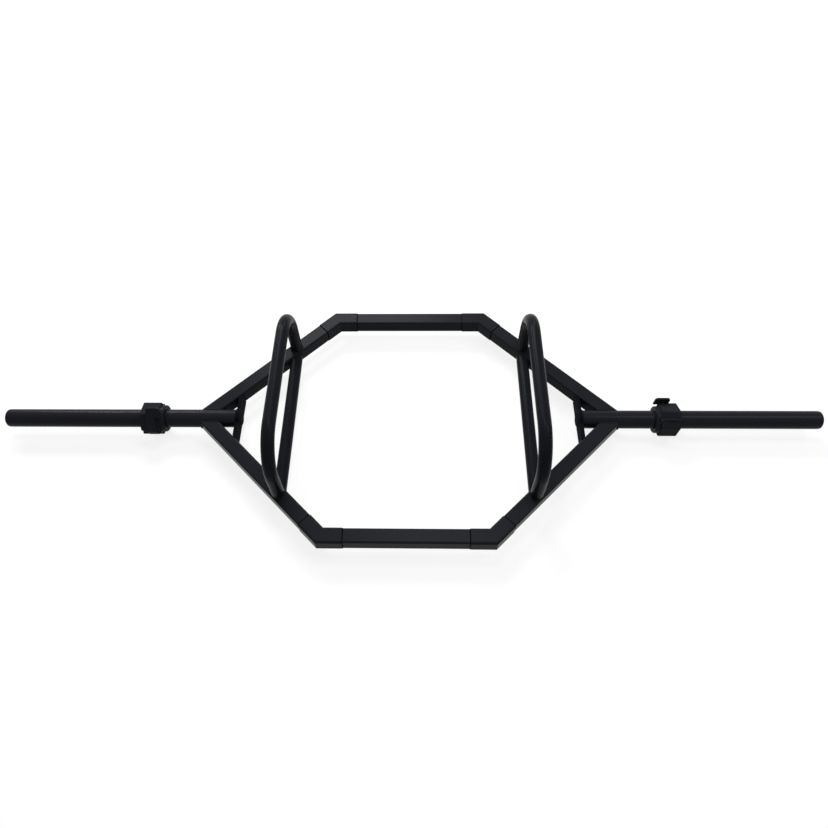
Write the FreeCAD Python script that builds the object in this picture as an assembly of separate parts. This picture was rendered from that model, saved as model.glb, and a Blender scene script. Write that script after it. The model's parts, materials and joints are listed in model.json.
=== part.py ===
import FreeCAD, Part
import math
import os

from FreeCAD import Placement, Rotation, Vector

# Hex trap bar: a six-sided tube frame that the lifter stands inside, with a low and a raised pair of
# handles, a plate sleeve at each end and a hinged lever collar clamped on each sleeve.
# X runs along the sleeves, Y to the rear and Z up. Z = 0 is the floor under the right collar, the lowest.

# Driving dimensions of the frame, in mm
TOTAL_LENGTH = 2250.0
SLEEVE_RADIUS = 25.0
SLEEVE_WALL = 5.0
APEX_X = 570.0  # where the diagonals' centre lines meet on the sleeves' axis
CORNER_X = 217.5  # where the diagonals' centre lines meet the rails'
TUBE_SIDE = 40.0
TUBE_WALL = 2.5
TUBE_CORNER = 5.0
ELBOW_WALL = 1.5
ELBOW_CORNER = 6.5
ELBOW_LEG = 57.5
MOUTH_ROUNDING = 1.0
TUBE_SETBACK = 20.0  # a tube ends this far short of the corner, inside the elbow
APEX_HALF_GAP = 21.0  # the diagonals' tips stop this far from the middle plane

# Handles
HANDLE_X = 332.5
HANDLE_RADIUS = 17.0
HANDLE_WALL = 2.5
GRIP_RISE = 204.0  # the raised grip's centre line above the sleeves' axis
BEND_RADIUS = 100.0
COPE_DEPTH = 4.0  # how far a leg's raw end runs into the tube it is coped to

# Sleeve ends
PLATE_INNER_X = 468.0
PLATE_THICKNESS = 10.0
LUG_RADIUS = 27.0
LUG_BLEND = 6.0
SPIGOT_PROUD = 4.0
SPIGOT_DEPTH = 60.0
SPIGOT_CHAMFER = 1.5
PLUG_HEAD = 5.0
PLUG_DEPTH = 25.0
PLUG_EDGE = 2.0
SLEEVE_CHAMFER = 1.0

# Collar, in its own frame: X outboard along the sleeve, the jaws' split on the XY plane
COLLAR_X = 674.0  # the collar's inboard end, from the bar's middle
COLLAR_LENGTH = 63.0
FLAT_RADIUS = 40.0  # from the axis to each flat of the six-sided body
BODY_CORNER = 6.0
BODY_CHAMFER = 1.5
HUB_LENGTH = 13.0
HUB_RADIUS = 37.0
HUB_ROUNDING = 3.0
PAD_OUTER = 28.0
PAD_CLEARANCE = 0.08  # the pads' running fit on the sleeve
LIP_LENGTH = 5.0
LIP_RADIUS = 25.9
GAP = 0.3  # between pieces that move past each other
PAD_GAP = 0.5
HINGE_Y = -37.0
KNUCKLE_RADIUS = 5.0
KNUCKLE_CLEARANCE = 1.0
MIDDLE_KNUCKLE = (29.0, 48.0)
PIVOT_Y = 38.5
EAR_RADIUS = 6.0
LEVER_SLOT = (18.7, 46.3)
LEVER_SLOT_RADIUS = 8.5
PIN_RADIUS = 2.5
PIN_CLEARANCE = 0.08
PIN_CHAMFER = 0.5
ARM_THICKNESS = 5.0
ARM_CLEARANCE = 0.5
ARM_END = 15.0  # where the arm meets the tab, from the middle of the flat it lies on
TAB_START = 13.0
TAB_END = 41.0
TAB_SPAN = (3.0, 43.0)
TAB_CORNER = 8.0
SIXTH_TURN = 60.0
COLLAR_LEAN = 4.0  # how far the right collar's lowest corner is turned from straight down
LEFT_TURN = 14.0  # how much further the left collar is turned
COLLAR_TURNS = {"right": COLLAR_LEAN - SIXTH_TURN, "left": COLLAR_LEAN + LEFT_TURN}

# Sizes that follow from them
SLEEVE_BORE = SLEEVE_RADIUS - SLEEVE_WALL
SLEEVE_END = TOTAL_LENGTH / 2 - PLUG_HEAD
CORNER_REACH = (FLAT_RADIUS - BODY_CORNER) / math.cos(math.radians(SIXTH_TURN / 2))
AXIS_Z = CORNER_REACH * math.cos(math.radians(COLLAR_LEAN)) + BODY_CORNER
RAIL_Y = APEX_X - CORNER_X
ELBOW_SIDE = TUBE_SIDE + 2 * ELBOW_WALL
TUBE_Z = AXIS_Z - SLEEVE_RADIUS + ELBOW_SIDE / 2
TUBE_TOP = TUBE_Z + TUBE_SIDE / 2
LEG_Y = APEX_X - HANDLE_X
GRIP_Z = AXIS_Z + GRIP_RISE
PLATE_OUTER_X = PLATE_INNER_X + PLATE_THICKNESS
FAR = 2 * TOTAL_LENGTH

X_AXIS = Vector(1, 0, 0)
Y_AXIS = Vector(0, 1, 0)
Z_AXIS = Vector(0, 0, 1)
CORNER = Vector(CORNER_X, RAIL_Y, TUBE_Z)
APEX = Vector(APEX_X, 0, TUBE_Z)
TO_APEX = (APEX - CORNER).normalize()
TO_REAR_LEFT = Vector(-1, 0, 0)
SIDES = {"left": -1, "right": 1}
DEPTHS = {"front": -1, "rear": 1}


def keep_side(shape, point, normal):
    """The part of a shape on the side of a plane that the normal points to."""
    half_space = Part.makeBox(FAR, 2 * FAR, 2 * FAR, Vector(0, -FAR, -FAR))
    half_space.Placement = Placement(point, Rotation(X_AXIS, normal))
    return shape.common(half_space)


def mirrored(shape, side, depth):
    """A piece of the right rear quarter carried to another quarter."""
    if side < 0:
        shape = shape.mirror(Vector(), X_AXIS)
    if depth < 0:
        shape = shape.mirror(Vector(), Y_AXIS)
    return shape


def runs_along_x(edge):
    return abs(edge.tangentAt(edge.FirstParameter).x) > 0.5


def square_bar(side, corner_radius, start, direction, length):
    """A solid square bar from a point along a level direction, with rounded long edges."""
    bar = Part.makeBox(length, side, side, Vector(0, -side / 2, -side / 2))
    long_edges = [edge for edge in bar.Edges if runs_along_x(edge)]
    bar = bar.makeFillet(corner_radius, long_edges)
    heading = math.degrees(math.atan2(direction.y, direction.x))
    bar.Placement = Placement(start, Rotation(Z_AXIS, heading))
    return bar


def square_tube(start, direction, length):
    """A frame tube with its hollow."""
    outside = square_bar(TUBE_SIDE, TUBE_CORNER, start, direction, length)
    hollow_side = TUBE_SIDE - 2 * TUBE_WALL
    hollow = square_bar(hollow_side, TUBE_CORNER - TUBE_WALL, start, direction, length)
    return outside.cut(hollow)


def rail():
    """The rear rail; its ends sit inside the elbows."""
    half = CORNER_X - TUBE_SETBACK
    return square_tube(Vector(-half, RAIL_Y, TUBE_Z), X_AXIS, 2 * half)


def diagonal_reach():
    return (APEX - CORNER).Length + TUBE_SIDE


def diagonal_bar():
    """The outside of the right rear diagonal as a solid, for coping its neighbours."""
    return square_bar(TUBE_SIDE, TUBE_CORNER, CORNER, TO_APEX, diagonal_reach())


def diagonal():
    """The right rear diagonal, its tip coped to the sleeve and cut parallel to it."""
    start = CORNER + TO_APEX * TUBE_SETBACK
    tube = square_tube(start, TO_APEX, diagonal_reach() - TUBE_SETBACK)
    tube = keep_side(tube, Vector(0, APEX_HALF_GAP, 0), Y_AXIS)
    sleeve_round = Part.makeCylinder(SLEEVE_RADIUS, FAR, Vector(0, 0, AXIS_Z), X_AXIS)
    return tube.cut(sleeve_round)


def elbow_form(side, corner_radius):
    """Two square legs mitred at the right rear corner."""
    bisector = (TO_REAR_LEFT + TO_APEX).normalize()
    legs = []
    for direction in (TO_REAR_LEFT, TO_APEX):
        start = CORNER - direction * side
        leg = square_bar(side, corner_radius, start, direction, side + ELBOW_LEG)
        across = direction - bisector * direction.dot(bisector)
        legs.append(keep_side(leg, CORNER, across))
    return legs[0].fuse(legs[1]).removeSplitter()


def is_mouth(edge):
    """True for the edges round an elbow's two open ends."""
    from_corner = edge.CenterOfMass - CORNER
    reach = max(from_corner.dot(direction) for direction in (TO_REAR_LEFT, TO_APEX))
    return abs(reach - ELBOW_LEG) < GAP


def elbow():
    """The corner sleeve that joins a rail to a diagonal, rounded at its two mouths."""
    outside = elbow_form(ELBOW_SIDE, ELBOW_CORNER)
    mouths = [edge for edge in outside.Edges if is_mouth(edge)]
    outside = outside.makeFillet(MOUTH_ROUNDING, mouths)
    cavity_corner = ELBOW_CORNER - ELBOW_WALL - GAP
    return outside.cut(elbow_form(TUBE_SIDE, cavity_corner))


def coped(shape):
    """A right-hand piece shaped to the outsides of both right diagonals."""
    for depth in DEPTHS.values():
        shape = shape.cut(mirrored(diagonal_bar(), 1, depth))
    return shape


def between_diagonals(shape, run_in):
    """A right-hand piece cut along the diagonals' inner faces, or a little past them."""
    tip = APEX - X_AXIS * ((TUBE_SIDE / 2 - run_in) * math.sqrt(2))
    for depth in DEPTHS.values():
        shape = keep_side(shape, tip, Vector(-1, -depth, 0))
    return shape


def flush_handle():
    """The right low handle, a round tube in the plane of the frame."""
    reach = LEG_Y + HANDLE_RADIUS
    start = Vector(HANDLE_X, -reach, TUBE_Z)
    tube = Part.makeCylinder(HANDLE_RADIUS, 2 * reach, start, Y_AXIS)
    hollow = Part.makeCylinder(HANDLE_RADIUS - HANDLE_WALL, 2 * reach, start, Y_AXIS)
    return coped(between_diagonals(tube.cut(hollow), COPE_DEPTH))


def tube_ring(centre, direction):
    """The round handle tube's section as a face."""
    outer = Part.Wire(Part.makeCircle(HANDLE_RADIUS, centre, direction))
    inner = Part.Wire(Part.makeCircle(HANDLE_RADIUS - HANDLE_WALL, centre, direction))
    return Part.Face(outer).cut(Part.Face(inner)).Faces[0]


def raised_handle():
    """The right raised handle: one tube bent twice, its legs coped to the diagonals' tops."""
    foot_z = TUBE_TOP - COPE_DEPTH
    bend_z = GRIP_Z - BEND_RADIUS
    grip_y = LEG_Y - BEND_RADIUS
    pieces = [tube_ring(Vector(HANDLE_X, -grip_y, GRIP_Z), Y_AXIS).extrude(Y_AXIS * (2 * grip_y))]
    for depth in DEPTHS.values():
        foot = Vector(HANDLE_X, depth * LEG_Y, foot_z)
        pieces.append(tube_ring(foot, Z_AXIS).extrude(Z_AXIS * (bend_z - foot_z)))
        bend_start = Vector(HANDLE_X, depth * LEG_Y, bend_z)
        bend_centre = Vector(HANDLE_X, depth * grip_y, bend_z)
        pieces.append(tube_ring(bend_start, Z_AXIS).revolve(bend_centre, X_AXIS * depth, 90))
    return coped(pieces[0].multiFuse(pieces[1:]).removeSplitter())


def end_plate():
    """The right end plate between the diagonals, with a round lug where the sleeve is welded on."""
    half_width = APEX_X - PLATE_INNER_X
    bottom = AXIS_Z - SLEEVE_RADIUS
    corner = Vector(PLATE_INNER_X, -half_width, bottom)
    plate = Part.makeBox(PLATE_THICKNESS, 2 * half_width, TUBE_TOP - bottom, corner)
    axis_start = Vector(PLATE_INNER_X, 0, AXIS_Z)
    lug = Part.makeCylinder(LUG_RADIUS, PLATE_THICKNESS, axis_start, X_AXIS)
    plate = plate.fuse(keep_side(lug, Vector(0, 0, bottom), Z_AXIS)).removeSplitter()
    neck = [edge for edge in plate.Edges if is_neck(edge)]
    plate = plate.makeFillet(LUG_BLEND, neck)
    spigot_hole = Part.makeCylinder(SLEEVE_BORE, PLATE_THICKNESS, axis_start, X_AXIS)
    return between_diagonals(plate.cut(spigot_hole), 0)


def is_neck(edge):
    """True for the edges along X where the plate's lug rises from its straight top."""
    middle = edge.CenterOfMass
    return runs_along_x(edge) and abs(middle.y) < LUG_RADIUS and abs(middle.z - TUBE_TOP) < GAP


def turned(profile):
    """A solid of revolution about the sleeve's axis from points (x, radius)."""
    wire = Part.makePolygon([Vector(x, radius, 0) for x, radius in profile + profile[:1]])
    solid = Part.Face(wire).revolve(Vector(), X_AXIS, 360)
    return solid


def on_axis(shape, side):
    """A right-hand turned piece put on a sleeve's axis."""
    shape.translate(Vector(0, 0, AXIS_Z))
    return mirrored(shape, side, 1)


def sleeve():
    return turned([
        (PLATE_OUTER_X, SLEEVE_BORE),
        (PLATE_OUTER_X, SLEEVE_RADIUS),
        (SLEEVE_END - SLEEVE_CHAMFER, SLEEVE_RADIUS),
        (SLEEVE_END, SLEEVE_RADIUS - SLEEVE_CHAMFER),
        (SLEEVE_END, SLEEVE_BORE),
    ])


def sleeve_spigot():
    """The turned plug that locates the sleeve in the end plate."""
    nose = PLATE_INNER_X - SPIGOT_PROUD
    return turned([
        (nose, 0),
        (nose, SLEEVE_BORE - SPIGOT_CHAMFER),
        (nose + SPIGOT_CHAMFER, SLEEVE_BORE),
        (PLATE_OUTER_X + SPIGOT_DEPTH, SLEEVE_BORE),
        (PLATE_OUTER_X + SPIGOT_DEPTH, 0),
    ])


def sleeve_end_plug():
    """The moulded plug that closes the sleeve's outer end."""
    tip = SLEEVE_END + PLUG_HEAD
    head_radius = SLEEVE_RADIUS - SLEEVE_CHAMFER
    return turned([
        (SLEEVE_END - PLUG_DEPTH, 0),
        (SLEEVE_END - PLUG_DEPTH, SLEEVE_BORE),
        (SLEEVE_END, SLEEVE_BORE),
        (SLEEVE_END, head_radius),
        (tip - PLUG_EDGE, head_radius),
        (tip, head_radius - PLUG_EDGE),
        (tip, 0),
    ])


def six_sided(flat_radius, corner_radius, start, end):
    """A six-sided prism along the collar's axis with rounded long edges; one flat faces +Y."""
    reach = flat_radius / math.cos(math.radians(SIXTH_TURN / 2))
    corners = []
    for step in range(6):
        angle = math.radians(SIXTH_TURN * (step + 0.5))
        corners.append(Vector(start, reach * math.cos(angle), reach * math.sin(angle)))
    prism = Part.Face(Part.makePolygon(corners + corners[:1])).extrude(X_AXIS * (end - start))
    long_edges = [edge for edge in prism.Edges if runs_along_x(edge)]
    return prism.makeFillet(corner_radius, long_edges)


def collar_shell():
    """Both jaws in one: a round hub, the six-sided body and a bore with a lip at each end."""
    body = six_sided(FLAT_RADIUS, BODY_CORNER, HUB_LENGTH, COLLAR_LENGTH)
    rims = [edge for edge in body.Edges if not runs_along_x(edge)]
    body = body.makeChamfer(BODY_CHAMFER, rims)
    hub = Part.makeCylinder(HUB_RADIUS, COLLAR_LENGTH / 2, Vector(), X_AXIS)
    hub_rim = [edge for edge in hub.Edges if edge.BoundBox.XMax < GAP]
    hub = hub.makeFillet(HUB_ROUNDING, hub_rim)
    bore = turned([
        (0, 0),
        (0, LIP_RADIUS),
        (LIP_LENGTH, LIP_RADIUS),
        (LIP_LENGTH, PAD_OUTER),
        (COLLAR_LENGTH - LIP_LENGTH, PAD_OUTER),
        (COLLAR_LENGTH - LIP_LENGTH, LIP_RADIUS),
        (COLLAR_LENGTH, LIP_RADIUS),
        (COLLAR_LENGTH, 0),
    ])
    return body.fuse(hub).cut(bore)


def rod(radius, start, end, centre_y):
    """A cylinder along the collar's axis, centred on the split plane."""
    return Part.makeCylinder(radius, end - start, Vector(start, centre_y, 0), X_AXIS)


def half(shape, upward, gap):
    """One side of the split, with a gap to the plane."""
    return keep_side(shape, Vector(0, 0, upward * gap), Z_AXIS * upward)


def base_jaw():
    """The jaw that carries both pins: outer hinge knuckles and the lever's two ears."""
    knuckle_start, knuckle_end = MIDDLE_KNUCKLE
    slot_start, slot_end = LEVER_SLOT
    jaw = half(collar_shell(), -1, GAP)
    jaw = jaw.cut(rod(KNUCKLE_RADIUS + KNUCKLE_CLEARANCE, knuckle_start, knuckle_end, HINGE_Y))
    added = [
        rod(KNUCKLE_RADIUS, HUB_LENGTH, knuckle_start, HINGE_Y),
        rod(KNUCKLE_RADIUS, knuckle_end, COLLAR_LENGTH, HINGE_Y),
        rod(EAR_RADIUS, HUB_LENGTH, slot_start, PIVOT_Y),
        rod(EAR_RADIUS, slot_end, COLLAR_LENGTH, PIVOT_Y),
    ]
    jaw = jaw.multiFuse(added)
    jaw = jaw.cut(rod(LEVER_SLOT_RADIUS, slot_start, slot_end, PIVOT_Y))
    jaw = jaw.cut(rod(PIN_RADIUS, HUB_LENGTH, COLLAR_LENGTH, HINGE_Y))
    jaw = jaw.cut(rod(PIN_RADIUS, HUB_LENGTH, COLLAR_LENGTH, PIVOT_Y))
    return jaw.removeSplitter()


def swing_jaw():
    """The jaw that opens on the hinge pin, hollowed where the base jaw's knuckles and ears stand."""
    knuckle_start = MIDDLE_KNUCKLE[0] + GAP
    knuckle_end = MIDDLE_KNUCKLE[1] - GAP
    start = HUB_LENGTH - GAP
    end = COLLAR_LENGTH + GAP
    jaw = half(collar_shell(), 1, GAP)
    jaw = jaw.cut(rod(KNUCKLE_RADIUS + KNUCKLE_CLEARANCE, start, knuckle_start, HINGE_Y))
    jaw = jaw.cut(rod(KNUCKLE_RADIUS + KNUCKLE_CLEARANCE, knuckle_end, end, HINGE_Y))
    jaw = jaw.cut(rod(EAR_RADIUS + GAP, start, end, PIVOT_Y))
    jaw = jaw.fuse(rod(KNUCKLE_RADIUS, knuckle_start, knuckle_end, HINGE_Y))
    jaw = jaw.cut(rod(PIN_RADIUS + PIN_CLEARANCE, knuckle_start, knuckle_end, HINGE_Y))
    return jaw.removeSplitter()


def lever():
    """The lever: a boss on its pin, an arm over the next flat, and a tab past that flat's far corner."""
    start = LEVER_SLOT[0] + GAP
    end = LEVER_SLOT[1] - GAP
    boss = rod(EAR_RADIUS, start, end, PIVOT_Y)
    inner_flat = FLAT_RADIUS + ARM_CLEARANCE
    inner_corner = BODY_CORNER + ARM_CLEARANCE
    arm = six_sided(inner_flat + ARM_THICKNESS, inner_corner + ARM_THICKNESS, start, end)
    arm = arm.cut(six_sided(inner_flat, inner_corner, start, end))
    arm = keep_side(arm, Vector(), Z_AXIS)
    along_flat = Rotation(X_AXIS, SIXTH_TURN).multVec(Z_AXIS)
    arm = keep_side(arm, along_flat * ARM_END, along_flat * -1)
    tab_start, tab_end = TAB_SPAN
    tab_corner = Vector(tab_start, inner_flat, TAB_START)
    tab = Part.makeBox(tab_end - tab_start, ARM_THICKNESS, TAB_END - TAB_START, tab_corner)
    tips = [edge for edge in tab.Edges if is_tab_tip(edge)]
    tab = tab.makeFillet(TAB_CORNER, tips)
    tab.rotate(Vector(), X_AXIS, SIXTH_TURN)
    solid = boss.multiFuse([arm, tab])
    hole = rod(PIN_RADIUS + PIN_CLEARANCE, start, end, PIVOT_Y)
    return solid.cut(hole).removeSplitter()


def is_tab_tip(edge):
    """True for the tab's two outer corners."""
    through = abs(edge.tangentAt(edge.FirstParameter).y) > 0.5
    return through and abs(edge.CenterOfMass.z - TAB_END) < GAP


def pin(centre_y):
    """A plain pin, flush with the collar's body at both ends."""
    straight = turned([
        (HUB_LENGTH, 0),
        (HUB_LENGTH, PIN_RADIUS - PIN_CHAMFER),
        (HUB_LENGTH + PIN_CHAMFER, PIN_RADIUS),
        (COLLAR_LENGTH - PIN_CHAMFER, PIN_RADIUS),
        (COLLAR_LENGTH, PIN_RADIUS - PIN_CHAMFER),
        (COLLAR_LENGTH, 0),
    ])
    straight.translate(Y_AXIS * centre_y)
    return straight


def pad(upward):
    """A half-round lining that grips the sleeve, held between the jaw's lips."""
    inner = SLEEVE_RADIUS + PAD_CLEARANCE
    lining = turned([
        (LIP_LENGTH, inner),
        (LIP_LENGTH, PAD_OUTER),
        (COLLAR_LENGTH - LIP_LENGTH, PAD_OUTER),
        (COLLAR_LENGTH - LIP_LENGTH, inner),
    ])
    return half(lining, upward, PAD_GAP)


def collar_placement(side_name):
    """Where a collar stands: outboard along its sleeve and turned round it."""
    turn = Rotation(X_AXIS, COLLAR_TURNS[side_name])
    if side_name == "left":
        turn = turn.multiply(Rotation(Z_AXIS, 180))
    return Placement(Vector(SIDES[side_name] * COLLAR_X, 0, AXIS_Z), turn)


def frame_pieces():
    """Every welded or fixed piece of the bar, by name."""
    pieces = {}
    for depth_name, depth in DEPTHS.items():
        pieces[f"{depth_name}_rail"] = mirrored(rail(), 1, depth)
    for side_name, side in SIDES.items():
        for depth_name, depth in DEPTHS.items():
            pieces[f"{depth_name}_{side_name}_diagonal"] = mirrored(diagonal(), side, depth)
            pieces[f"{depth_name}_{side_name}_elbow"] = mirrored(elbow(), side, depth)
        pieces[f"{side_name}_flush_handle"] = mirrored(flush_handle(), side, 1)
        pieces[f"{side_name}_raised_handle"] = mirrored(raised_handle(), side, 1)
        pieces[f"{side_name}_end_plate"] = mirrored(end_plate(), side, 1)
        pieces[f"{side_name}_sleeve"] = on_axis(sleeve(), side)
        pieces[f"{side_name}_sleeve_spigot"] = on_axis(sleeve_spigot(), side)
        pieces[f"{side_name}_sleeve_end_plug"] = on_axis(sleeve_end_plug(), side)
    return pieces


def collar_pieces(side_name):
    """Every piece of one collar, by name and in place."""
    makers = {
        "base_jaw": base_jaw(),
        "swing_jaw": swing_jaw(),
        "lever": lever(),
        "hinge_pin": pin(HINGE_Y),
        "lever_pin": pin(PIVOT_Y),
        "base_pad": pad(-1),
        "swing_pad": pad(1),
    }
    placement = collar_placement(side_name)
    pieces = {}
    for name, shape in makers.items():
        shape.Placement = placement.multiply(shape.Placement)
        pieces[f"{side_name}_collar_{name}"] = shape
    return pieces


def main():
    os.makedirs("parts", exist_ok=True)
    pieces = frame_pieces()
    for side_name in SIDES:
        pieces.update(collar_pieces(side_name))
    for name, shape in pieces.items():
        if len(shape.Solids) != 1 or not shape.isValid():
            raise ValueError(f"{name} is not one sound solid")
        shape.Solids[0].exportStep(f"parts/{name}.step")
        print(f"{name}: {shape.Volume / 1000:.1f} cm3")


main()
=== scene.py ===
import json
import math

import bpy
from mathutils import Matrix, Vector


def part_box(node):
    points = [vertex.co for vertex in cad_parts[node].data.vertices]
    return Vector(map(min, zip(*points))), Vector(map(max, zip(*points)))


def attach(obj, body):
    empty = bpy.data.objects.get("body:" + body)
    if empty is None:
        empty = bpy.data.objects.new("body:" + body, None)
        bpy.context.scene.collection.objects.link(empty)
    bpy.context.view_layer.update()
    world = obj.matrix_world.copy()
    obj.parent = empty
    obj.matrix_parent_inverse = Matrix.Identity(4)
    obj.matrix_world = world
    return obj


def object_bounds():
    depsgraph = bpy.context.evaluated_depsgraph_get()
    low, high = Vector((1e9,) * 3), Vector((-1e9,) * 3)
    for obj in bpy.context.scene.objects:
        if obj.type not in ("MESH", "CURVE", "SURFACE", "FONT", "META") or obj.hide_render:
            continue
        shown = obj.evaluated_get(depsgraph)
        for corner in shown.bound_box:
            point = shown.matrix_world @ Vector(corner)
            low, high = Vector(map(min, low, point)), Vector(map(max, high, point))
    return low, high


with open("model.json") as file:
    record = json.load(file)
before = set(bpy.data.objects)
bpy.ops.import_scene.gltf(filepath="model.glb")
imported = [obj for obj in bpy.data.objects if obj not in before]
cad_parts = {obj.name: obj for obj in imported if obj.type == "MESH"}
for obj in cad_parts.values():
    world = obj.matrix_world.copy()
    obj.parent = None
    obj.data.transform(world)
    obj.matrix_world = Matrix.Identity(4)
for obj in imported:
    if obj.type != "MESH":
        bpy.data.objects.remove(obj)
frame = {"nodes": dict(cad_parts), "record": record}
cad_low, cad_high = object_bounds()
scene = bpy.context.scene
scene.view_settings.view_transform = "Standard"

# Camera, solved from the photograph's outlines, in pixels of the image, degrees and metres
IMAGE_PIXELS = 828.0
FOCAL_PIXELS = 671.92
PRINCIPAL_X = 403.89
PRINCIPAL_Y = 418.94
CAMERA_ELEVATION = 57.5446
CAMERA_YAW = -2.8148
CAMERA_ROLL = 2.2214
CAMERA_DISTANCE = 1.86772
LOOK_AT_X = -0.01163
SENSOR_MM = 36.0

SIDES = {"left": -1, "right": 1}
DEPTHS = {"front": -1, "rear": 1}
ROOT_TWO = math.sqrt(2)
FULL_TURN = 2 * math.pi
QUARTER_TURN = FULL_TURN / 4
MM_PER_METRE = 1000.0


def middle(node):
    """The middle of a node's box."""
    low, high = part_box(node)
    return (low + high) / 2


def extent(node):
    """The size of a node's box."""
    low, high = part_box(node)
    return high - low


# Sizes read from the frame, in metres
AXIS_Z = middle("right_sleeve").z
SLEEVE_RADIUS = extent("right_sleeve").z / 2
TUBE_SIDE = extent("rear_rail").z
TUBE_Z = middle("rear_rail").z
TUBE_CORNER = 0.005  # the corners' radius, which a box doesn't tell
TUBE_FLAT = TUBE_SIDE / 2 - TUBE_CORNER  # from a face's middle to its rounded corner
TUBE_TOP = TUBE_Z + TUBE_SIDE / 2
FACE_TOP = TUBE_TOP - TUBE_CORNER
FACE_BOTTOM = TUBE_Z - TUBE_SIDE / 2 + TUBE_CORNER
RAIL_Y = middle("rear_rail").y
HANDLE_X = middle("right_flush_handle").x
HANDLE_RADIUS = extent("right_flush_handle").x / 2
LEG_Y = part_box("right_raised_handle")[1].y - HANDLE_RADIUS
PLATE_INNER_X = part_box("right_end_plate")[0].x
PLATE_OUTER_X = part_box("right_end_plate")[1].x
SPIGOT_RADIUS = extent("right_sleeve_spigot").z / 2
TIP_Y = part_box("rear_right_diagonal")[0].y
HUB_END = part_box("right_collar_lever_pin")[0].x

# What x and y of the rear right diagonal add up to, on its middle line and on its two upright faces
APEX_X = HANDLE_X + LEG_Y
INNER_FACE = APEX_X - TUBE_SIDE / ROOT_TWO
OUTER_FACE = APEX_X + TUBE_SIDE / ROOT_TWO

# Stage: what the floor shows by itself and by the light on it, and the room, which meets the far floor
WHITE = (1, 1, 1, 1)
FLOOR_REACH = 40.0  # from the middle to each edge
FLOOR_TONE = 0.78  # for the light that the floor throws back
FLOOR_GLOW = 0.82
FLOOR_SHADE = 0.22
ROOM_LIGHT = 0.30
ROOM_SHOWN = FLOOR_GLOW + FLOOR_SHADE * ROOM_LIGHT
FLOOR_DROP = 0.0115  # below the collars, so that the open levers clear the floor

# Weld beads: radii, ripples and how finely they are cut
FOOT_BEAD = 0.0024
TIP_BEAD = 0.0026
PLATE_BEAD = 0.0022
RIPPLE_PITCH = 0.0032
RIPPLE_DEPTH = 0.16
STEPS_PER_RIPPLE = 4
FEWEST_RIPPLES = 2
BEAD_SIDES = 8
BEAD_END = 0.45  # share of the thickness that is left at an open end
PINCH_STEPS = 2 * STEPS_PER_RIPPLE  # steps from an open end that would add a whole thickness
STEEP = 0.8  # upright share of a path's direction, from which its rings are set out from x instead of z
TIP_TOP_SINK = TUBE_CORNER / 4  # how far the bead on a tip's top lies below the flat
HANDLE_RING_STEPS = 64
SLEEVE_RING_STEPS = 72
TIP_STEPS = 24

# Painted shade in the elbows' mouths, a thin near-black ring standing for the shadow in each joint: distance
# out of the mouth and height on the tube
CORNER_X = APEX_X - RAIL_Y
ELBOW_LEG = CORNER_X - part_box("rear_right_elbow")[0].x
SEAM_PROFILE = ((-0.0001, -0.0003), (-0.0001, 0.0005), (0.0012, 0.0004), (0.0024, 0.0001), (0.0024, -0.0003))
SEAM_CORNER_STEPS = 5

# Coatings: the noise that drifts their colour and gloss, the noise of their grain, and each finish
DRIFT_NOISE = {"Scale": 14.0, "Detail": 4.0, "Roughness": 0.6}
GRAIN_NOISE = {"Detail": 2.0, "Roughness": 0.5}
POLISH = 0.34  # taken off the roughness
MIX_DARK = 6  # numbers of the mix node's colour sockets
MIX_LIGHT = 7
MIX_RESULT = 2
FINISHES = {
    "frame_coat": dict(
        dark=(0.0114, 0.0124, 0.0154), light=(0.0149, 0.0161, 0.0198), roughness=(0.22, 0.28),
        grain_mm=3.2, bump_mm=0.004, specular=0.021),
    # painted shade: the frame's coat made darker, and rougher, for the end plates and spigots
    "plate_coat_painted_shade": dict(
        dark=(0.0026, 0.0032, 0.0050), light=(0.0048, 0.0055, 0.0078), roughness=(0.72, 0.84),
        grain_mm=1.6, bump_mm=0.03, specular=0.02),
    "handle_coat": dict(
        dark=(0.0062, 0.0070, 0.0094), light=(0.0092, 0.0101, 0.0128), roughness=(0.24, 0.31),
        grain_mm=2.6, bump_mm=0.004, specular=0.027),
    "sleeve_coat": dict(
        dark=(0.0098, 0.0104, 0.0138), light=(0.0132, 0.0140, 0.0183), roughness=(0.21, 0.26),
        grain_mm=6.0, bump_mm=0.001, specular=0.046),
    "plug_plastic": dict(
        dark=(0.0080, 0.0080, 0.0095), light=(0.0120, 0.0120, 0.0135), roughness=(0.45, 0.55),
        grain_mm=1.0, bump_mm=0.02, specular=0.06),
    "collar_plastic": dict(
        dark=(0.0125, 0.0134, 0.0172), light=(0.0162, 0.0173, 0.0218), roughness=(0.58, 0.68),
        grain_mm=0.9, bump_mm=0.02, specular=0.02, polished_to=HUB_END),
    "pad_rubber": dict(
        dark=(0.010, 0.010, 0.010), light=(0.015, 0.015, 0.015), roughness=(0.65, 0.80),
        grain_mm=0.7, bump_mm=0.03, specular=0.05),
    # painted shade: near black, standing for the shadow in each elbow's mouth
    "seam_painted_shade": dict(
        dark=(0.0010, 0.0010, 0.0013), light=(0.0020, 0.0020, 0.0024), roughness=(0.80, 0.90),
        grain_mm=0.8, bump_mm=0.02, specular=0.01),
    "pin_steel": dict(
        dark=(0.20, 0.20, 0.21), light=(0.26, 0.26, 0.27), roughness=(0.30, 0.40),
        grain_mm=0.8, bump_mm=0.01, specular=0.50),
}


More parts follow.
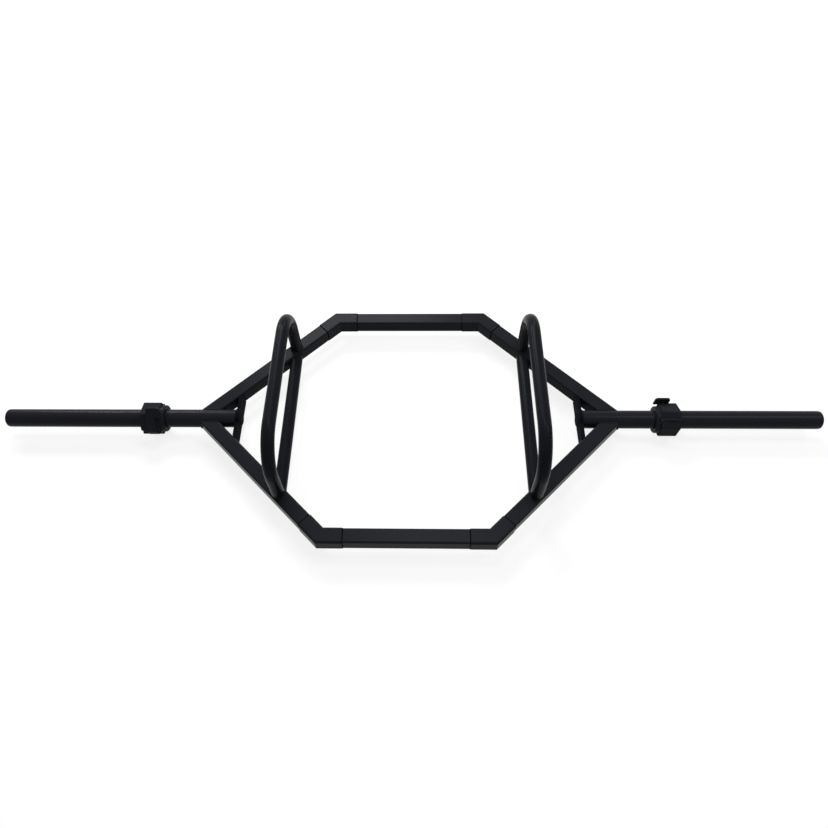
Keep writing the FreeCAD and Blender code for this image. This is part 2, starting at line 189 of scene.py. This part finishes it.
def make_camera():
    """The photograph's pinhole camera, looking down at the bar from the front."""
    elevation = math.radians(CAMERA_ELEVATION)
    yaw = math.radians(CAMERA_YAW)
    roll = math.radians(CAMERA_ROLL)
    level = Vector((math.sin(yaw), math.cos(yaw), 0))
    forward = level * math.cos(elevation) - Vector((0, 0, math.sin(elevation)))
    level_right = Vector((math.cos(yaw), -math.sin(yaw), 0))
    level_down = forward.cross(level_right)
    right = level_right * math.cos(roll) + level_down * math.sin(roll)
    down = level_down * math.cos(roll) - level_right * math.sin(roll)
    data = bpy.data.cameras.new("photo_camera")
    data.sensor_fit = "HORIZONTAL"
    data.sensor_width = SENSOR_MM
    data.lens = FOCAL_PIXELS * SENSOR_MM / IMAGE_PIXELS
    data.shift_x = (IMAGE_PIXELS / 2 - PRINCIPAL_X) / IMAGE_PIXELS
    data.shift_y = (PRINCIPAL_Y - IMAGE_PIXELS / 2) / IMAGE_PIXELS
    camera = bpy.data.objects.new("photo_camera", data)
    camera.matrix_world = Matrix((right, -down, -forward)).transposed().to_4x4()
    camera.location = Vector((LOOK_AT_X, 0, AXIS_Z)) - forward * CAMERA_DISTANCE
    scene.collection.objects.link(camera)
    scene.camera = camera


class Graph:
    """A small helper for building node trees."""

    def __init__(self, tree):
        self.tree = tree
        tree.nodes.clear()

    def node(self, kind, settings=(), **inputs):
        """Adds a node with its settings and its named inputs."""
        made = self.tree.nodes.new(kind)
        for name, value in dict(settings).items():
            setattr(made, name, value)
        for name, value in inputs.items():
            self.feed(made, name.replace("_", " "), value)
        return made

    def feed(self, node, name, value):
        """Gives a named or numbered input a value, or a link from another node's output."""
        socket = node.inputs[name]
        if isinstance(value, bpy.types.NodeSocket):
            self.tree.links.new(value, socket)
        else:
            socket.default_value = value

    def calculate(self, operation, *values):
        """The result of a math node."""
        made = self.node("ShaderNodeMath", {"operation": operation})
        for number, value in enumerate(values):
            self.feed(made, number, value)
        return made.outputs[0]


def background_ray(graph):
    """One where a camera, glossy or transmission ray meets the stage, and zero for the light it gives."""
    path = graph.node("ShaderNodeLightPath")
    seen = graph.calculate("MAXIMUM", path.outputs["Is Camera Ray"], path.outputs["Is Glossy Ray"])
    return graph.calculate("MAXIMUM", seen, path.outputs["Is Transmission Ray"])


def show_or_light(graph, lighting, shown, output_kind):
    """Ends a stage's node tree: one shader for the light it gives, another for how it is seen."""
    choose = graph.node("ShaderNodeMixShader", Fac=background_ray(graph))
    graph.feed(choose, 1, lighting.outputs[0])
    graph.feed(choose, 2, shown.outputs[0])
    output = graph.node(output_kind)
    graph.feed(output, "Surface", choose.outputs[0])


def make_floor():
    """A wide white floor that keeps a faint shadow of the bar."""
    reach = FLOOR_REACH
    mesh = bpy.data.meshes.new("floor")
    corners = [(-reach, -reach, 0), (reach, -reach, 0), (reach, reach, 0), (-reach, reach, 0)]
    mesh.from_pydata(corners, [], [(0, 1, 2, 3)])
    floor = bpy.data.objects.new("floor", mesh)
    floor.location.z = cad_low.z - FLOOR_DROP
    scene.collection.objects.link(floor)
    material = bpy.data.materials.new("floor_white")
    material.use_nodes = True
    graph = Graph(material.node_tree)
    lit = graph.node("ShaderNodeBsdfDiffuse", Color=(FLOOR_TONE, FLOOR_TONE, FLOOR_TONE, 1))
    shadow_part = graph.node("ShaderNodeBsdfDiffuse", Color=(FLOOR_SHADE, FLOOR_SHADE, FLOOR_SHADE, 1))
    white = graph.node("ShaderNodeEmission", Color=WHITE, Strength=FLOOR_GLOW)
    shown = graph.node("ShaderNodeAddShader")
    graph.feed(shown, 0, white.outputs[0])
    graph.feed(shown, 1, shadow_part.outputs[0])
    show_or_light(graph, lit, shown, "ShaderNodeOutputMaterial")
    mesh.materials.append(material)


def softbox(name, place, target, width, height, watts):
    """A rectangular area lamp aimed at a point."""
    data = bpy.data.lights.new(name, "AREA")
    data.shape = "RECTANGLE"
    data.size = width
    data.size_y = height
    data.energy = watts
    lamp = bpy.data.objects.new(name, data)
    lamp.location = place
    aim = Vector(target) - Vector(place)
    lamp.rotation_mode = "QUATERNION"
    lamp.rotation_quaternion = aim.to_track_quat("-Z", "Y")
    scene.collection.objects.link(lamp)


def make_lights():
    """A pale room with softboxes behind, overhead, above on the right and lower behind on both sides."""
    world = bpy.data.worlds.new("studio")
    world.use_nodes = True
    scene.world = world
    graph = Graph(world.node_tree)
    room_light = graph.node("ShaderNodeBackground", Color=WHITE, Strength=ROOM_LIGHT)
    room_shown = graph.node("ShaderNodeBackground", Color=WHITE, Strength=ROOM_SHOWN)
    show_or_light(graph, room_light, room_shown, "ShaderNodeOutputWorld")
    softbox(
        "rear_softbox", place=(-0.55, 2.42, 2.6), target=(0, 0.2, 0),
        width=1.4, height=0.62, watts=66)
    softbox(
        "overhead_softbox", place=(0.05, 0.7, 2.7), target=(0, 0, 0),
        width=1.0, height=0.5, watts=17)
    softbox(
        "right_softbox", place=(1.9, 0.2, 2.6), target=(0.8, 0, 0),
        width=0.8, height=1.4, watts=18)
    softbox(
        "low_left_softbox", place=(-2.05, 2.7, 1.75), target=(-0.6, 0.1, 0),
        width=1.2, height=0.28, watts=44)
    softbox(
        "low_right_softbox", place=(0.75, 3.0, 1.7), target=(0.3, 0.2, 0.15),
        width=0.35, height=0.25, watts=12)


def polished(graph, place, roughness, polished_to):
    """A roughness made lower where the surface is nearer to the bar's middle than a given distance."""
    split = graph.node("ShaderNodeSeparateXYZ", Vector=place)
    distance = graph.calculate("ABSOLUTE", split.outputs["X"])
    inside = graph.calculate("LESS_THAN", distance, polished_to)
    return graph.calculate("MULTIPLY_ADD", inside, -POLISH, roughness)


def coat(name, dark, light, roughness, grain_mm, bump_mm, specular, polished_to=None):
    """A coating with faint colour drift, uneven gloss and a fine grain, polished out to a distance from the
    bar's middle if one is given."""
    material = bpy.data.materials.new(name)
    material.use_nodes = True
    graph = Graph(material.node_tree)
    place = graph.node("ShaderNodeTexCoord").outputs["Object"]
    drift = graph.node("ShaderNodeTexNoise", Vector=place, **DRIFT_NOISE).outputs["Fac"]
    colour = graph.node("ShaderNodeMix", {"data_type": "RGBA"}, Factor=drift)
    graph.feed(colour, MIX_DARK, (*dark, 1))
    graph.feed(colour, MIX_LIGHT, (*light, 1))
    smoothest, roughest = roughness
    spread = graph.node("ShaderNodeMapRange", Value=drift, To_Min=smoothest, To_Max=roughest)
    gloss = spread.outputs["Result"]
    if polished_to is not None:
        gloss = polished(graph, place, gloss, polished_to)
    grain_scale = MM_PER_METRE / grain_mm
    grain = graph.node("ShaderNodeTexNoise", Vector=place, Scale=grain_scale, **GRAIN_NOISE).outputs["Fac"]
    bump = graph.node("ShaderNodeBump", Strength=1.0, Distance=bump_mm / MM_PER_METRE, Height=grain)
    shader = graph.node("ShaderNodeBsdfPrincipled", Roughness=gloss, Normal=bump.outputs["Normal"])
    graph.feed(shader, "Base Color", colour.outputs[MIX_RESULT])
    graph.feed(shader, "Specular IOR Level", specular)
    output = graph.node("ShaderNodeOutputMaterial")
    graph.feed(output, "Surface", shader.outputs[0])
    return material


MATERIALS = {name: coat(name, **finish) for name, finish in FINISHES.items()}


def dress_nodes():
    """Gives every CAD node the finish of its own material slot; the end plates and sleeve spigots get a
    rougher, darker copy of the frame's coat, whose darkness is painted shade.
    """
    for row in frame["record"]["subparts"]:
        node = frame["nodes"][row["node"]]
        finish = row["material_slot"]
        if row["node"].endswith(("end_plate", "sleeve_spigot")):
            # painted shade: a darker copy of the frame's coat
            finish = "plate_coat_painted_shade"
        node.data.materials.clear()
        node.data.materials.append(MATERIALS[finish])


def ring_angles(count):
    """Equal steps round a full turn."""
    return [FULL_TURN * step / count for step in range(count)]


def band_faces(rings, sides, closed):
    """Faces between rings of points, and from the last ring to the first where the band is closed."""
    faces = []
    for ring in range(rings if closed else rings - 1):
        near = ring * sides
        far = (ring + 1) % rings * sides
        for side in range(sides):
            beside = (side + 1) % sides
            faces.append((near + side, near + beside, far + beside, far + side))
    return faces


def add_trim(name, vertices, faces, finish, smooth):
    """A thin piece on the frame."""
    mesh = bpy.data.meshes.new(name)
    mesh.from_pydata(vertices, [], faces)
    for face in mesh.polygons:
        face.use_smooth = smooth
    mesh.materials.append(MATERIALS[finish])
    piece = bpy.data.objects.new(name, mesh)
    scene.collection.objects.link(piece)
    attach(piece, "frame")


def evenly(path, closed):
    """Points along a path at equal steps, a whole number of which makes up each ripple."""
    corners = path + path[:1] if closed else path
    lengths = [0.0]
    for first, second in zip(corners, corners[1:]):
        lengths.append(lengths[-1] + (second - first).length)
    ripples = max(FEWEST_RIPPLES, round(lengths[-1] / RIPPLE_PITCH))
    count = ripples * STEPS_PER_RIPPLE
    points = []
    leg = 0
    for step in range(count if closed else count + 1):
        along = lengths[-1] * step / count
        while leg < len(corners) - 2 and lengths[leg + 1] < along:
            leg += 1
        share = (along - lengths[leg]) / (lengths[leg + 1] - lengths[leg])
        points.append(corners[leg].lerp(corners[leg + 1], share))
    return points


def bead(name, path, radius, closed):
    """A rippled weld bead along a path, with pinched ends where the path is open."""
    points = evenly(path, closed)
    count = len(points)
    vertices = []
    for step, point in enumerate(points):
        before = points[step - 1] if closed or step else point
        after = points[(step + 1) % count] if closed or step < count - 1 else point
        tangent = (after - before).normalized()
        helper = Vector((0, 0, 1)) if abs(tangent.z) < STEEP else Vector((1, 0, 0))
        across = tangent.cross(helper).normalized()
        upward = across.cross(tangent)
        ripple = 1 + RIPPLE_DEPTH * math.sin(FULL_TURN * step / STEPS_PER_RIPPLE)
        thickness = radius * ripple
        if not closed:
            from_end = min(step, count - 1 - step)
            thickness *= min(1, BEAD_END + from_end / PINCH_STEPS)
        for angle in ring_angles(BEAD_SIDES):
            vertices.append(point + (across * math.cos(angle) + upward * math.sin(angle)) * thickness)
    faces = band_faces(count, BEAD_SIDES, closed)
    if not closed:
        faces.append(tuple(range(BEAD_SIDES))[::-1])
        faces.append(tuple(range(len(vertices) - BEAD_SIDES, len(vertices))))
    add_trim(name, vertices, faces, "frame_coat", True)


def corner_drop(offset):
    """How far a tube's rounded corner has fallen away at a distance from the tube's middle."""
    past_flat = max(0.0, abs(offset) - TUBE_FLAT)
    return TUBE_CORNER - math.sqrt(max(0.0, TUBE_CORNER ** 2 - past_flat ** 2))


def foot_path(side, depth):
    """Round a raised handle's foot on the top of its diagonal."""
    points = []
    for angle in ring_angles(HANDLE_RING_STEPS):
        x = HANDLE_X + HANDLE_RADIUS * math.cos(angle)
        y = LEG_Y + HANDLE_RADIUS * math.sin(angle)
        from_middle = (x + y - APEX_X) / ROOT_TWO
        points.append(Vector((side * x, depth * y, TUBE_TOP - corner_drop(from_middle))))
    return points


def low_handle_path(side, depth):
    """Round a low handle's end on the inner face of its diagonal."""
    points = []
    for angle in ring_angles(HANDLE_RING_STEPS):
        rise = HANDLE_RADIUS * math.sin(angle)
        x = HANDLE_X + HANDLE_RADIUS * math.cos(angle)
        y = INNER_FACE - x + corner_drop(rise) * ROOT_TWO
        points.append(Vector((side * x, depth * y, TUBE_Z + rise)))
    return points


def tip_top_path(side, depth):
    """Along the top of a diagonal's tip, where it lies against the sleeve."""
    z = TUBE_TOP - TIP_TOP_SINK
    start = Vector((side * (INNER_FACE - TIP_Y + TUBE_CORNER), depth * TIP_Y, z))
    end = Vector((side * (OUTER_FACE - TIP_Y - TUBE_CORNER), depth * TIP_Y, z))
    return [start, end]


def tip_side_path(side, depth, face):
    """Down one face of a diagonal's tip, following the sleeve's round."""
    points = []
    for step in range(TIP_STEPS + 1):
        z = FACE_TOP + (FACE_BOTTOM - FACE_TOP) * step / TIP_STEPS
        on_sleeve = math.sqrt(max(0.0, SLEEVE_RADIUS ** 2 - (z - AXIS_Z) ** 2))
        y = max(TIP_Y, on_sleeve)
        points.append(Vector((side * (face - y), depth * y, z)))
    return points


def plate_path(side, depth, x):
    """Down the end plate's edge on the inner face of a diagonal."""
    y = INNER_FACE - x
    return [Vector((side * x, depth * y, z)) for z in (FACE_TOP, FACE_BOTTOM)]


def round_path(side, x, radius):
    """A circle about the sleeves' axis."""
    points = []
    for angle in ring_angles(SLEEVE_RING_STEPS):
        y = radius * math.cos(angle)
        z = AXIS_Z + radius * math.sin(angle)
        points.append(Vector((side * x, y, z)))
    return points


def weld_the_frame():
    """Every bead of the welded frame."""
    for side_name, side in SIDES.items():
        for depth_name, depth in DEPTHS.items():
            place = f"{depth_name}_{side_name}"
            bead(f"{place}_foot_bead", foot_path(side, depth), FOOT_BEAD, True)
            bead(f"{place}_low_handle_bead", low_handle_path(side, depth), FOOT_BEAD, True)
            bead(f"{place}_tip_top_bead", tip_top_path(side, depth), TIP_BEAD, False)
            bead(f"{place}_tip_outer_bead", tip_side_path(side, depth, OUTER_FACE), TIP_BEAD, False)
            bead(f"{place}_tip_inner_bead", tip_side_path(side, depth, INNER_FACE), TIP_BEAD, False)
            bead(f"{place}_plate_inner_bead", plate_path(side, depth, PLATE_INNER_X), PLATE_BEAD, False)
            bead(f"{place}_plate_outer_bead", plate_path(side, depth, PLATE_OUTER_X), PLATE_BEAD, False)
        bead(f"{side_name}_sleeve_bead", round_path(side, PLATE_OUTER_X, SLEEVE_RADIUS), PLATE_BEAD, True)
        bead(f"{side_name}_spigot_bead", round_path(side, PLATE_INNER_X, SPIGOT_RADIUS), PLATE_BEAD, True)


def rounded_square(rise):
    """A frame tube's outline at a height over its surface, as offsets across and upward."""
    reach = TUBE_CORNER + rise
    points = []
    for quarter in range(4):
        toward_corner = QUARTER_TURN * (quarter + 0.5)
        across = math.copysign(TUBE_FLAT, math.cos(toward_corner))
        upward = math.copysign(TUBE_FLAT, math.sin(toward_corner))
        for step in range(SEAM_CORNER_STEPS + 1):
            angle = QUARTER_TURN * (quarter + step / SEAM_CORNER_STEPS)
            points.append((across + reach * math.cos(angle), upward + reach * math.sin(angle)))
    return points


def seam(name, corner, direction):
    """A thin near-black ring of painted shade round a tube where it enters an elbow, standing for the shadow
    in the joint.
    """
    sideways = Vector((-direction.y, direction.x, 0))
    vertices = []
    for along, rise in SEAM_PROFILE:
        start = corner + direction * (ELBOW_LEG + along)
        for across, upward in rounded_square(rise):
            vertices.append(start + sideways * across + Vector((0, 0, upward)))
    rings = len(SEAM_PROFILE)
    faces = band_faces(rings, len(vertices) // rings, True)
    # the ring is painted shade
    add_trim(name, vertices, faces, "seam_painted_shade", False)


def paint_seam_shade():
    """Painted shade at both seams of every elbow."""
    for side_name, side in SIDES.items():
        for depth_name, depth in DEPTHS.items():
            corner = Vector((side * CORNER_X, depth * RAIL_Y, TUBE_Z))
            place = f"{depth_name}_{side_name}"
            seam(f"{place}_rail_seam_shade", corner, Vector((-side, 0, 0)))
            seam(f"{place}_diagonal_seam_shade", corner, Vector((side, -depth, 0)).normalized())


make_camera()
make_floor()
make_lights()
dress_nodes()
weld_the_frame()
paint_seam_shade()
